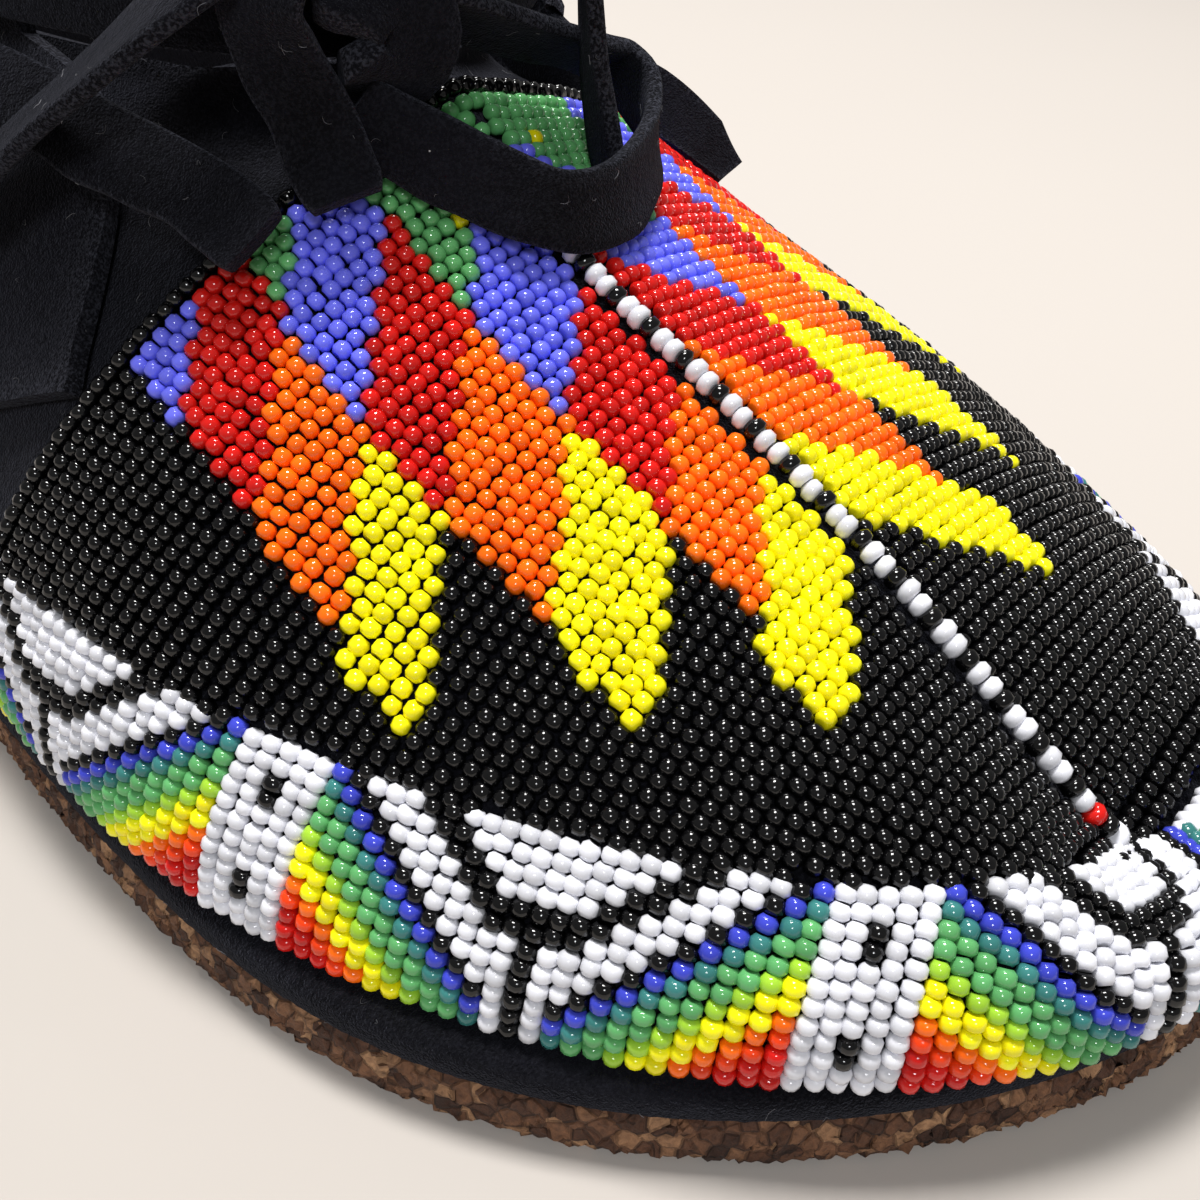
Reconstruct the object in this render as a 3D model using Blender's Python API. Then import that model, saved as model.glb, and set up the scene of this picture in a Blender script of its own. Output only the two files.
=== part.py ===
"""A hard-soled beaded moccasin, right shoe: cork outsole, suede-covered midsole, insole, hollow suede
upper with a beaded band and a beaded vamp field over it, tongue, ankle cuff and a flat suede thong.
+Y is the toe, +X the wearer's right, +Z up. Tables are in millimetres, the scene in metres."""

import bmesh
import bpy
import numpy as np

MM = 0.001
CENTRE = (-0.85, -13.9)  # x and y of the middle of the finished shoe, which becomes the origin

# Stations round the shoe, from the back of the heel along the outer side to the toe and back along
# the inner side. edge: where the upper meets the sole. rise and bulge: how far the side goes up and
# out before it leans in. reach and drop: how flat it arrives at the ridge or the collar.
# rim: how far the sole stands out past the edge.
OUTLINE = [
    # station         edge_x edge_y  rise bulge reach  drop   rim
    ("heel back",        6, -148,   30,    4,    1,   14,  1.5),
    ("heel outer",      32, -130,   30,    4,    1,   14,  1.5),
    ("heel side outer", 41,  -96,   28,    4,    2,   14,  1.5),
    ("waist outer",     45,  -60,   27,    3,    5,   12,  1.0),
    ("arch outer",      50,  -26,   26,    3,   14,    8,  0.5),
    ("instep outer",    54,    6,   24,    3,   28,    2,  0.5),
    ("ball outer",      56,   37,   19,    2,   23,    3,  0.5),
    ("joint outer",     50,   68,   13,    1,   16,    2,  3.0),
    ("toe outer",       35,   97,   14,    2,   16,    0,  1.0),
    ("toe corner",      14,  116,   11,    1,   12,    0, -1.0),
    ("toe tip",         -9,  121,   11,    1,   12,    0,  0.0),
    ("toe corner in",  -33,  112,   12,    2,   14,    0,  1.0),
    ("toe inner",      -48,   92,   14,    3,   21,    0,  1.5),
    ("joint inner",    -56,   64,   20,    6,   30,    2,  1.5),
    ("ball inner",     -55,   35,   28,    7,   36,    2,  1.5),
    ("instep inner",   -46,    6,   30,    5,   38,    1,  1.5),
    ("arch inner",     -37,  -26,   28,    4,   18,    8,  1.5),
    ("waist inner",    -31,  -60,   28,    4,    5,   12,  1.5),
    ("heel side inner", -28, -96,   28,    4,    2,   14,  1.5),
    ("heel inner",     -20, -131,   30,    4,    1,   14,  1.5),
]
# The top of each side, counted from the toe tip back: the ridge, where the two sides meet over the
# foot, as far as the throat, and then the collar's half opening about its own middle.
TOPLINE = [
    # station        top_y  top_z  middle opening
    ("toe tip",        106,   17,      0,    0),
    ("toe corner",     104,   20,      0,    0),
    ("toe side",        87,   32,      0,    0),
    ("joint",           62,   46,      0,    0),
    ("ball",            40,   57,      0,    0),
    ("throat",        25.5,   68,      0,    0),
    ("arch",            10,   71,      1,   20),
    ("waist",          -33,   72,      3,   27),
    ("heel side",      -84,   73,      5,   28),
    ("heel",          -122,   75,      6,   21),
    ("heel back",     -141,   76,      6,    0),
]
TOE_TIP = 10  # place of the toe tip in OUTLINE
THROAT = 5  # place of the throat in TOPLINE

CORK = 5.5  # outsole thickness
MIDSOLE_TOP = 9.5
EDGE_Z = 9.8  # where the upper stands on the midsole
TOE_SPRING, SPRING_FROM = 1.0, 85  # the toe's lift, and the y that it starts from
GAP = 0.3  # between pieces that touch

SUEDE_OUT, SUEDE_IN = -1.0, -3.0  # the upper's two faces, from the last surface out
BEADS_OUT, BEADS_IN = 0.9, -0.55  # the same for the layer of beads
BAND_HIGH = 19.0  # the beaded band, twelve beads high, measured up the side
MOST_BAND = 0.8  # share of the side that it may take at the toe tip
STEPS = 4  # mesh columns to a station
BAND_ROWS, FIELD_ROWS = 3, 9  # mesh rows up the band, and from there to the top
FIELD_GAP = 0.02  # share of the field's height left open between it and the band

INSOLE = (2.0, 1.5)  # thickness and gap to the upper's wall
CUFF_STATIONS = 3.5  # how many stations the cuff reaches to each side of the heel, at the collar
CUFF_LEAN = 0.32  # how much further forward, as a share, its front corners hang
CUFF_LOW = (0.86, 0.5)  # share of the side that it hangs to, at the heel and at its front corners
CUFF_WALL, CUFF_GAP, CUFF_HEIGHT, CUFF_FLARE = 2.0, 0.8, 30, 5
THONG = (8.0, 2.0)  # width and thickness
TUBE = 1.5  # half thickness of a thong's free end, drawn round

# The tongue from its root under the vamp to its tip.
TONGUE = [
    #  y    z  half_width crown
    (44, 49.5,  9, 4.0),
    (36, 53.5, 10, 4.5),
    (28, 57.0, 11, 5.0),
    (20, 60.5, 11, 5.0),
    (13, 66.0, 12, 4.0),
    ( 9, 74.0, 14, 3.5),
    ( 7, 84.0, 16, 3.0),
    ( 6, 92.0, 14, 2.5),
    ( 6, 95.0,  9, 1.0),
]
TONGUE_WALL = 1.8
# The flap on the inner side: stations and shares of its root and tip, half its width in share, and
# how far its middle stands off the vamp.
FLAP_STATIONS = (15.2, 14.1)
FLAP_SHARES = (0.86, 0.60)
FLAP_HALF = 0.08
FLAP_LIFT = 3.5
# The middle of the thong's turn round the ankle, by stations from the heel round the outer side.
WRAP = [
    #    x     y   z
    (  6.0, -145.0, 84),
    ( 30.0, -126.5, 83),
    ( 37.5,  -84.0, 81),
    ( 34.5,  -32.0, 79),
    ( 28.5,    2.0, 78),
    ( 18.5,   18.5, 77),
    (  0.0,   24.0, 76),
    (-17.5,   18.5, 77),
    (-25.5,    2.0, 78),
    (-28.5,  -32.0, 79),
    (-27.5,  -84.0, 81),
    (-18.0, -126.5, 83),
]
# The free cords. The loops leave the knot, and the ends leave the knot or come out under the wrap.
CORDS = {
    "thong_knot": [(15, 25.5, 79.5), (11, 28, 78), (8.5, 28.6, 76), (10, 28, 73), (15, 25.8, 74)],
    "thong_loop_low": [
        (14.5, 27, 70), (13.5, 28, 68.5), (10, 32, 66), (6.5, 37.5, 63), (2.3, 41.6, 61.5),
        (-3.6, 43, 61), (-11, 40.8, 62), (-16, 38, 64), (-19, 34, 68), (-17, 31, 71.5),
        (-12.5, 30.5, 73.5), (-7.8, 30, 75), (-2.6, 29.5, 77), (2, 29.3, 79), (6, 28.8, 81),
    ],
    "thong_loop_high": [
        (10, 29, 83), (6, 30.5, 88), (0, 33.5, 91), (-5.5, 35.5, 88), (-7.8, 36.2, 80),
        (-8, 36.6, 72), (-8, 37.2, 66),
    ],
    "thong_end_front": [
        (16, 27.5, 84.8), (19, 26.3, 84.3), (22, 25, 79.5), (20.5, 24.8, 73), (18, 27.3, 66.5),
        (18, 31, 62), (18.3, 33, 60.2),
    ],
    "thong_end_side": [
        (36.5, -23, 71.5), (35.5, -13, 71.5), (33, -3, 70.5), (30.8, 3.5, 68.5), (28.8, 8.3, 66.5),
        (26.8, 15.1, 64.5), (25.8, 22.6, 62.5), (25.6, 27.5, 60),
    ],
    "thong_end_back": [
        (17, 22, 85), (23, 21.5, 83), (27.5, 19.5, 79.3), (33, 12.8, 72.3), (38, 3, 64),
        (42, -4, 57.5), (46, -11, 51.5), (49, -18, 45),
    ],
}


def spline(values, at):
    """Smooth closed curve through values, one a station, read at the station numbers in at."""
    values = np.asarray(values, float)
    count = len(values)
    matrix = 4 * np.eye(count) + np.roll(np.eye(count), 1, 0) + np.roll(np.eye(count), -1, 0)
    bend = np.linalg.solve(matrix, 6 * (np.roll(values, 1) - 2 * values + np.roll(values, -1)))
    first = np.floor(at).astype(int)
    t = at - first
    a, b = first % count, (first + 1) % count
    line = (1 - t) * values[a] + t * values[b]
    return line + (((1 - t) ** 3 - (1 - t)) * bend[a] + (t**3 - t) * bend[b]) / 6


def steady(values, at):
    """Closed curve through values that never swings past them, so that a flat stretch stays flat."""
    values = np.asarray(values, float)
    after = np.roll(values, -1) - values
    before = np.roll(after, 1)
    same_way = before * after > 0
    slope = np.where(same_way, 2 * before * after / np.where(same_way, before + after, 1), 0)
    first = np.floor(at).astype(int)
    t = at - first
    a, b = first % len(values), (first + 1) % len(values)
    ends = (1 + 2 * t) * (1 - t) ** 2 * values[a] + t**2 * (3 - 2 * t) * values[b]
    return ends + t * (1 - t) ** 2 * slope[a] - t**2 * (1 - t) * slope[b]


def outline_column(place):
    return [row[place] for row in OUTLINE]


def topline_column(place):
    """A TOPLINE column laid round the shoe, one value for each OUTLINE station."""
    return [TOPLINE[abs(station - TOE_TIP)][place] for station in range(len(OUTLINE))]


def toe_lift(y):
    return TOE_SPRING * (np.clip(y - SPRING_FROM, 0, None) / (outline_column(2)[TOE_TIP] - SPRING_FROM)) ** 2


def edge_points(at, out):
    """Plan points of the upper's lower edge, moved out square to it."""
    step = 1e-3
    x, y = spline(outline_column(1), at), spline(outline_column(2), at)
    dx = spline(outline_column(1), at + step) - spline(outline_column(1), at - step)
    dy = spline(outline_column(2), at + step) - spline(outline_column(2), at - step)
    length = np.hypot(dx, dy)
    return x + out * dy / length, y - out * dx / length


def last_surface(at, up):
    """Points of the last, at station numbers at and shares up of the way from the sole to the top."""
    rise, bulge, reach, drop = (spline(outline_column(place), at) for place in (3, 4, 5, 6))
    foot_x, foot_y = edge_points(at, 0)
    out_x, out_y = edge_points(at, bulge)
    foot_z = EDGE_Z + toe_lift(foot_y)
    top_y, top_z = (spline(topline_column(place), at) for place in (1, 2))
    side = np.where(at % len(OUTLINE) > TOE_TIP, -1, 1)
    opening = [
        value * (1 if station < TOE_TIP else -1) for station, value in enumerate(topline_column(4))
    ]
    top_x = spline(topline_column(3), at) + side * np.abs(steady(opening, at))
    lean_x, lean_y = foot_x - top_x, foot_y - top_y
    lean = np.maximum(np.hypot(lean_x, lean_y), 1e-6)
    foot = np.stack([foot_x, foot_y, foot_z], -1)
    low = np.stack([out_x, out_y, foot_z + rise], -1)
    top = np.stack([top_x, top_y, top_z], -1)
    high = top + np.stack([lean_x / lean * reach, lean_y / lean * reach, -drop], -1)
    t = up[..., None]
    return (1 - t) ** 3 * foot + 3 * (1 - t) ** 2 * t * low + 3 * (1 - t) * t**2 * high + t**3 * top


def face_direction(at, up):
    """Unit vectors square to the last, pointing out. The seam along the ridge takes both sides' mean."""
    step = 1e-3
    up = np.clip(up, 0.01, 0.985)
    along = last_surface(at + step, up) - last_surface(at - step, up)
    across = last_surface(at, up + step) - last_surface(at, up - step)
    square = np.cross(along, across)
    return square / np.linalg.norm(square, axis=-1, keepdims=True)


def layer(at, up, out):
    """The last's points moved out, level where they stand on the sole and joined along the ridge."""
    square = face_direction(at, up)
    other_side = face_direction(2 * TOE_TIP - at, up)
    along_ridge = (up > 0.999) & (np.abs(at % len(OUTLINE) - TOE_TIP) <= TOE_TIP - THROAT + 1e-6)
    square = np.where(along_ridge[..., None], (square + other_side) / 2, square)
    square[..., 2] = np.where(up < 0.001, 0, square[..., 2])
    square /= np.linalg.norm(square, axis=-1, keepdims=True)
    return last_surface(at, up) + out * square


def height_share(at, length):
    """Share of the way up each side at which its beads are length high, measured along it."""
    shares = np.linspace(0, 1, 101)
    grid_at, grid_up = np.meshgrid(at, shares, indexing="ij")
    points = layer(grid_at, np.clip(grid_up, 0.002, 0.998), 0)
    run = np.linalg.norm(np.diff(points, axis=1), axis=-1).cumsum(1)
    run = np.hstack([np.zeros((len(at), 1)), run])
    return np.array([np.interp(length, row, shares) for row in run])


def side_rows(at):
    """Shares of the way up each side for the rows of its mesh, one of them on the band's top edge."""
    band = np.minimum(height_share(at, BAND_HIGH), MOST_BAND)[:, None]
    low, high = np.linspace(0, 1, BAND_ROWS + 1), np.linspace(0, 1, FIELD_ROWS + 1)[1:]
    return np.hstack([band * low, band + (1 - band) * high])


def material(name, colour, roughness):
    made = bpy.data.materials.new(name)
    made.use_nodes = True
    surface = made.node_tree.nodes["Principled BSDF"]
    surface.inputs["Base Color"].default_value = (*colour, 1)
    surface.inputs["Roughness"].default_value = roughness
    surface.inputs["Metallic"].default_value = 0
    return made


def add_solid(name, points, faces, finish):
    """One closed mesh object from millimetre points; points in the same place become one."""
    mesh = bpy.data.meshes.new(name)
    shifted = (np.asarray(points) - (*CENTRE, 0)) * MM
    mesh.from_pydata(shifted.tolist(), [], faces)
    work = bmesh.new()
    work.from_mesh(mesh)
    bmesh.ops.remove_doubles(work, verts=work.verts, dist=1e-6)
    bmesh.ops.dissolve_degenerate(work, edges=work.edges, dist=1e-7)
    bmesh.ops.recalc_face_normals(work, faces=work.faces)
    if work.calc_volume(signed=True) < 0:
        bmesh.ops.reverse_faces(work, faces=work.faces)
    work.to_mesh(mesh)
    work.free()
    mesh.shade_smooth()
    mesh.set_sharp_from_angle(angle=np.radians(40))
    mesh.materials.append(finish)
    made = bpy.data.objects.new(name, mesh)
    bpy.context.scene.collection.objects.link(made)
    return made


def add_shell(name, outer, inner, finish, ring=False, joined=()):
    """A sheet between two grids of points of the same shape (columns, rows, 3). ring joins the last
    column to the first, and joined lists the gaps between columns whose top edge is left open."""
    columns, rows = outer.shape[:2]
    points = np.concatenate([outer.reshape(-1, 3), inner.reshape(-1, 3)])
    inside = columns * rows

    def place(column, row):
        return column % columns * rows + row

    faces = []
    for column in range(columns if ring else columns - 1):
        for row in range(rows - 1):
            cell = [place(column, row), place(column + 1, row)]
            cell += [place(column + 1, row + 1), place(column, row + 1)]
            faces += [cell, [corner + inside for corner in reversed(cell)]]
        low = [place(column + 1, 0), place(column, 0)]
        faces.append(low + [low[1] + inside, low[0] + inside])
        if column not in joined:
            high = [place(column, rows - 1), place(column + 1, rows - 1)]
            faces.append(high + [high[1] + inside, high[0] + inside])
    if not ring:
        for column, order in ((0, 1), (columns - 1, -1)):
            for row in range(rows - 1):
                side = [place(column, row), place(column, row + 1)][::order]
                faces.append(side + [side[1] + inside, side[0] + inside])
    return add_solid(name, points, faces, finish)


def add_last_shell(name, at, up, outs, finish, ring=False):
    """A sheet that lies on the last at the shares in up, one row of them for each station number in
    at, between two distances out. Where it reaches the ridge, its two sides are joined."""
    grid_at = np.broadcast_to(at[:, None], up.shape)
    middle = (at[:-1] + at[1:]) / 2
    front = np.abs(middle % len(OUTLINE) - TOE_TIP) < TOE_TIP - THROAT
    joined = np.flatnonzero(front & (up[:-1, -1] > 0.999))
    outer, inner = (layer(grid_at, up, out) for out in outs)
    return add_shell(name, outer, inner, finish, ring, set(joined.tolist()))


def add_slab(name, plan, bottom, top, finish):
    """A flat piece with outline plan, its underside and top both lifted with the toe. Its faces run
    across from each point of the outer side to its partner on the inner side."""
    count = len(plan)
    lift = toe_lift(plan[:, 1])
    points = np.concatenate([np.column_stack([plan, z + lift]) for z in (bottom, top)])
    faces = []
    for here in range(count):
        after = (here + 1) % count
        faces.append([here, after, after + count, here + count])
    for here in range(count // 2):
        across = [here, here + 1, (count - here - 1) % count, (count - here) % count]
        across = list(dict.fromkeys(across))
        faces += [across[::-1], [corner + count for corner in across]]
    return add_solid(name, points, faces, finish)


def add_band(name, centres, normals, width, thickness, finish, ring=False):
    """A flat strip along centres, standing width high, thickness measured along normals."""
    half_up = np.array([0, 0, width / 2])
    outer = np.stack([centres + normals * thickness / 2 - half_up,
                      centres + normals * thickness / 2 + half_up], 1)
    inner = np.stack([centres - normals * thickness / 2 - half_up,
                      centres - normals * thickness / 2 + half_up], 1)
    return add_shell(name, outer, inner, finish, ring)


def add_cord(name, route, finish):
    """A round cord through route's points, in a smooth curve."""
    route = np.array(route, float)
    ends = [2 * route[0] - route[1], *route, 2 * route[-1] - route[-2]]
    points = []
    for a, b, c, d in zip(ends, ends[1:], ends[2:], ends[3:]):
        pieces = max(2, round(np.linalg.norm(c - b) / (5 * TUBE)))
        for t in np.arange(pieces) / pieces:
            bend = (2 * a - 5 * b + 4 * c - d) * t**2 + (3 * b - a - 3 * c + d) * t**3
            points.append((2 * b + (c - a) * t + bend) / 2)
    points.append(route[-1])
    curve = bpy.data.curves.new(name, "CURVE")
    curve.dimensions = "3D"
    curve.bevel_depth = TUBE * MM
    curve.bevel_resolution = 2
    curve.use_fill_caps = True
    line = curve.splines.new("POLY")
    line.points.add(len(points) - 1)
    for place, point in zip(line.points, points):
        place.co = (*((point - (*CENTRE, 0)) * MM), 1)
    curve.materials.append(finish)
    made = bpy.data.objects.new(name, curve)
    bpy.context.scene.collection.objects.link(made)
    return made


def add_bodies():
    """Outsole, midsole, insole and upper: the main form."""
    at = np.arange(0, len(OUTLINE), 1 / STEPS)
    rim = spline(outline_column(7), at)
    sole = np.column_stack(edge_points(at, rim))
    add_slab("cork_outsole", sole, 0, CORK, material("cork", (0.30, 0.15, 0.07), 0.9))
    add_slab("midsole", sole, CORK + GAP, MIDSOLE_TOP, suede)
    thickness, clear = INSOLE
    inside = np.column_stack(edge_points(at, SUEDE_IN - clear))
    leather = material("insole leather", (0.35, 0.22, 0.13), 0.7)
    add_slab("insole", inside, EDGE_Z, EDGE_Z + thickness, leather)
    add_last_shell("upper", at, side_rows(at), (SUEDE_OUT, SUEDE_IN), suede, ring=True)


def add_beadwork():
    """The band goes right round the shoe, and the vamp field fills what it leaves before the throat."""
    outs = (BEADS_OUT, BEADS_IN)
    around = np.arange(0, len(OUTLINE), 1 / STEPS)
    band = side_rows(around)[:, : BAND_ROWS + 1]
    bright = material("bright beads", (0.70, 0.72, 0.80), 0.2)
    add_last_shell("beaded_band", around, band, outs, bright, ring=True)
    front = np.arange(THROAT, len(OUTLINE) - THROAT + 1e-6, 1 / STEPS)
    field = side_rows(front)[:, BAND_ROWS:]
    field[:, 0] += FIELD_GAP * (1 - field[:, 0])
    dark = material("dark beads", (0.60, 0.10, 0.02), 0.2)
    add_last_shell("beaded_vamp", front, field, outs, dark)


def add_cuff():
    """The cuff stands up from the collar, open in front, with its front corners hanging lowest."""
    at = np.linspace(-CUFF_STATIONS, CUFF_STATIONS, round(2 * CUFF_STATIONS * STEPS) + 1)
    low = CUFF_LOW[0] + (CUFF_LOW[1] - CUFF_LOW[0]) * (np.abs(at) / CUFF_STATIONS) ** 3
    share = np.linspace(0, 1, 4)
    up = low[:, None] * (1 - share) + share
    grid_at = at[:, None] * (1 + CUFF_LEAN * (1 - share))
    faces = []
    for out in (SUEDE_OUT + CUFF_GAP + CUFF_WALL, SUEDE_OUT + CUFF_GAP):
        lower = layer(grid_at, up, out)
        level = face_direction(at[:, None], np.ones((len(at), 1)))
        level[..., 2] = 0
        level /= np.linalg.norm(level, axis=-1, keepdims=True)
        height = np.linspace(0, 1, 6)[1:, None]
        upper = lower[:, -1:] + height * (0, 0, CUFF_HEIGHT) + height**2 * CUFF_FLARE * level
        faces.append(np.concatenate([lower, upper], axis=1))
    add_shell("ankle_cuff", *faces, suede)


def add_inner_flap():
    """A leaf of suede at the throat, hanging forward over the inner side of the vamp."""
    at = np.linspace(*FLAP_STATIONS, 13)
    along = np.linspace(0, 1, len(at))[:, None]
    half = FLAP_HALF * np.sin(np.pi * np.clip(along, 0.06, 0.94)) ** 0.6
    middle = FLAP_SHARES[0] + (FLAP_SHARES[1] - FLAP_SHARES[0]) * along
    under = BEADS_OUT + GAP + FLAP_LIFT * np.sin(np.pi * along)[..., None]
    outs = (under + CUFF_WALL, under)
    add_last_shell("inner_flap", at, middle + half * np.linspace(-1, 1, 5), outs, suede)


def add_tongue():
    """The tongue starts under the vamp, comes up through the throat and leans back."""
    fine = np.linspace(0, len(TONGUE) - 1, 3 * len(TONGUE))
    y, z, half, crown = (np.interp(fine, range(len(TONGUE)), column) for column in zip(*TONGUE))
    run = np.column_stack([np.gradient(y), np.gradient(z)])
    run /= np.linalg.norm(run, axis=1, keepdims=True)
    front = np.column_stack([run[:, 1], -run[:, 0]])
    across = np.linspace(-1, 1, 9)
    x = half[:, None] * across
    faces = []
    for out in (TONGUE_WALL / 2, -TONGUE_WALL / 2):
        forward = out - crown[:, None] * across**2
        lengthwise = y[:, None] + front[:, :1] * forward
        upright = z[:, None] + front[:, 1:] * forward
        faces.append(np.stack([x, lengthwise, upright], -1))
    add_shell("tongue", *faces, suede)


def add_thong():
    """The wrap is a ring round the cuff. The knot, the bow's loop and the ends are loose cords."""
    width, thickness = THONG
    places = np.array(WRAP, float)
    at = np.arange(0, len(places), 1 / 5)
    centres = np.column_stack([spline(column, at) for column in places.T])
    run = np.roll(centres, -1, 0) - np.roll(centres, 1, 0)
    normals = np.column_stack([run[:, 1], -run[:, 0], 0 * run[:, 0]])
    normals /= np.linalg.norm(normals, axis=1, keepdims=True)
    add_band("thong_wrap", centres, normals, width, thickness, suede, ring=True)
    for name, route in CORDS.items():
        add_cord(name, route, suede)


for leftover in list(bpy.data.objects):
    bpy.data.objects.remove(leftover)
suede = material("black suede", (0.012, 0.013, 0.018), 0.95)
add_bodies()
add_beadwork()
add_cuff()
add_inner_flap()
add_tongue()
add_thong()
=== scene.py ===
"""A hard-soled beaded moccasin, right shoe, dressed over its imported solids. The sections follow the
shoe from the ground up: cork, rand, insole, suede upper, beadwork, cuff, tongue, flap, thong, lint.
Tables and sizes are in millimetres, and become metres where a mesh is made."""

import bpy
import numpy as np
from mathutils import Matrix, Vector


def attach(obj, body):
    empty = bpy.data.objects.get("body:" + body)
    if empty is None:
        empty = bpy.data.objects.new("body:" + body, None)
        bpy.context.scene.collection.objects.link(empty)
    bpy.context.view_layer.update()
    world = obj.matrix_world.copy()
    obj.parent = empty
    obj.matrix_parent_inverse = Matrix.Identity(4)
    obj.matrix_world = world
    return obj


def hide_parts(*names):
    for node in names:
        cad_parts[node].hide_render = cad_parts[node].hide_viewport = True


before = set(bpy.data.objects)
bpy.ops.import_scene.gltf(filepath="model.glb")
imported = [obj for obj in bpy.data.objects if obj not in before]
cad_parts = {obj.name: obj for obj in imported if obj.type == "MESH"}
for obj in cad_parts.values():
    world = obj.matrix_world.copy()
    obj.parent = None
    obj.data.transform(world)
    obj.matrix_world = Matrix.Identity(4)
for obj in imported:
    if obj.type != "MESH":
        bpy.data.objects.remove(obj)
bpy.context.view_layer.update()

# ---- Cork outsole -------------------------------------------------------------------------------
# A flat sheet of crumbed cork and rubber, cut with a knife to the shoe's outline and glued under the
# rand. Its edge shows the cut crumbs, tan and brown, with pits where crumbs fell out.

chance = np.random.default_rng(11)
MM = 0.001
CENTRE = (-0.85, -13.9)  # x and y of the middle of the finished shoe, which is the frame's origin

# Stations round the shoe, from the back of the heel along the outer side to the toe and back along
# the inner side. edge: where the upper meets the sole. rise and bulge: how far the side goes up and
# out before it leans in. reach and drop: how flat it arrives at the ridge or the collar.
# rim: how far the sole stands out past the edge.
OUTLINE = [
    # station         edge_x edge_y  rise bulge reach  drop   rim
    ("heel back",        6, -148,   30,    4,    1,   14,  1.5),
    ("heel outer",      32, -130,   30,    4,    1,   14,  1.5),
    ("heel side outer", 41,  -96,   28,    4,    2,   14,  1.5),
    ("waist outer",     45,  -60,   27,    3,    5,   12,  1.0),
    ("arch outer",      50,  -26,   26,    3,   14,    8,  0.5),
    ("instep outer",    54,    6,   24,    3,   28,    2,  0.5),
    ("ball outer",      56,   37,   19,    2,   23,    3,  0.5),
    ("joint outer",     50,   68,   13,    1,   16,    2,  3.0),
    ("toe outer",       35,   97,   14,    2,   16,    0,  1.0),
    ("toe corner",      14,  116,   11,    1,   12,    0, -1.0),
    ("toe tip",         -9,  121,   11,    1,   12,    0,  0.0),
    ("toe corner in",  -33,  112,   12,    2,   14,    0,  1.0),
    ("toe inner",      -48,   92,   14,    3,   21,    0,  1.5),
    ("joint inner",    -56,   64,   20,    6,   30,    2,  1.5),
    ("ball inner",     -55,   35,   28,    7,   36,    2,  1.5),
    ("instep inner",   -46,    6,   30,    5,   38,    1,  1.5),
    ("arch inner",     -37,  -26,   28,    4,   18,    8,  1.5),
    ("waist inner",    -31,  -60,   28,    4,    5,   12,  1.5),
    ("heel side inner", -28, -96,   28,    4,    2,   14,  1.5),
    ("heel inner",     -20, -131,   30,    4,    1,   14,  1.5),
]
TOE_TIP = 10  # place of the toe tip in OUTLINE
CORK = 5.5  # outsole thickness
CORK_OUTS = (-6, -0.7, -0.1, 0.1, 0.2, 0.1, 0.1, 0, 0, -0.1, -0.6, -6)
CORK_HEIGHTS = (0, 0, 0.4, 1.0, 1.6, 2.2, 2.9, 3.6, 4.3, 4.9, CORK, CORK)
CORK_ROUGH = 0.16  # how far the cut edge's points stray
CRUMBS = 560  # to the metre
TOE_SPRING, SPRING_FROM = 1.0, 85  # the toe's lift, and the y that it starts from


class Wire:
    """A shader value: sums on it, also with plain numbers on the left, add Math nodes."""

    def __init__(self, finish, socket):
        self.finish = finish
        self.socket = socket

    def sum(self, operation, *values):
        return self.finish.node("Math", {"operation": operation}, dict(enumerate(values)))

    def __add__(self, other):
        return self.sum("ADD", self, other)

    def __radd__(self, other):
        return self.sum("ADD", other, self)

    def __mul__(self, other):
        return self.sum("MULTIPLY", self, other)

    def __rmul__(self, other):
        return self.sum("MULTIPLY", other, self)

    def __gt__(self, other):
        return self.sum("GREATER_THAN", self, other)

    def __lt__(self, other):
        return self.sum("LESS_THAN", self, other)


class Finish:
    """One material. node adds any node, and wear sets the surface's own sockets."""

    def __init__(self, name):
        self.made = bpy.data.materials.new(name)
        self.made.use_nodes = True
        self.nodes = self.made.node_tree.nodes
        self.surface = self.nodes["Principled BSDF"]

    def node(self, kind, settings=None, sockets=None, out=0):
        made = self.nodes.new("ShaderNode" + kind)
        for key, value in (settings or {}).items():
            if key == "stops":
                self.set_stops(made.color_ramp, value)
            else:
                setattr(made, key, value)
        self.fill(made, sockets or {})
        return Wire(self, made.outputs[out])

    def set_stops(self, ramp, stops):
        while len(ramp.elements) < len(stops):
            ramp.elements.new(1)
        for element, (place, colour) in zip(ramp.elements, stops):
            element.position = place
            element.color = (*colour, 1)

    def fill(self, node, sockets):
        for key, value in sockets.items():
            if isinstance(value, Wire):
                self.made.node_tree.links.new(value.socket, node.inputs[key])
            else:
                node.inputs[key].default_value = value

    def wear(self, **sockets):
        self.fill(self.surface, {key.replace("_", " "): value for key, value in sockets.items()})
        return self.made

    def noise(self, per_metre, detail):
        place = self.node("TexCoord", out="Object")
        sockets = {"Vector": place, "Scale": per_metre, "Detail": detail}
        return self.node("TexNoise", {}, sockets, out="Fac")

    def crumbs(self, per_metre, out, feature="F1"):
        place = self.node("TexCoord", out="Object")
        return self.node("TexVoronoi", {"feature": feature}, {"Vector": place, "Scale": per_metre}, out)

    def grey(self, colour):
        """One channel of a colour, as a value."""
        return self.node("SeparateColor", {}, {"Color": colour}, out=0)

    def ramp(self, value, *stops):
        return self.node("ValToRGB", {"stops": stops}, {"Fac": value})

    def blend(self, factor, low, high, way="MIX"):
        settings = {"data_type": "RGBA", "blend_type": way}
        return self.node("Mix", settings, {0: factor, 6: low, 7: high}, out=2)

    def bump(self, height, distance):
        """distance is in millimetres."""
        return self.node("Bump", {}, {"Height": height, "Distance": distance * MM, "Strength": 1.0})


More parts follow.
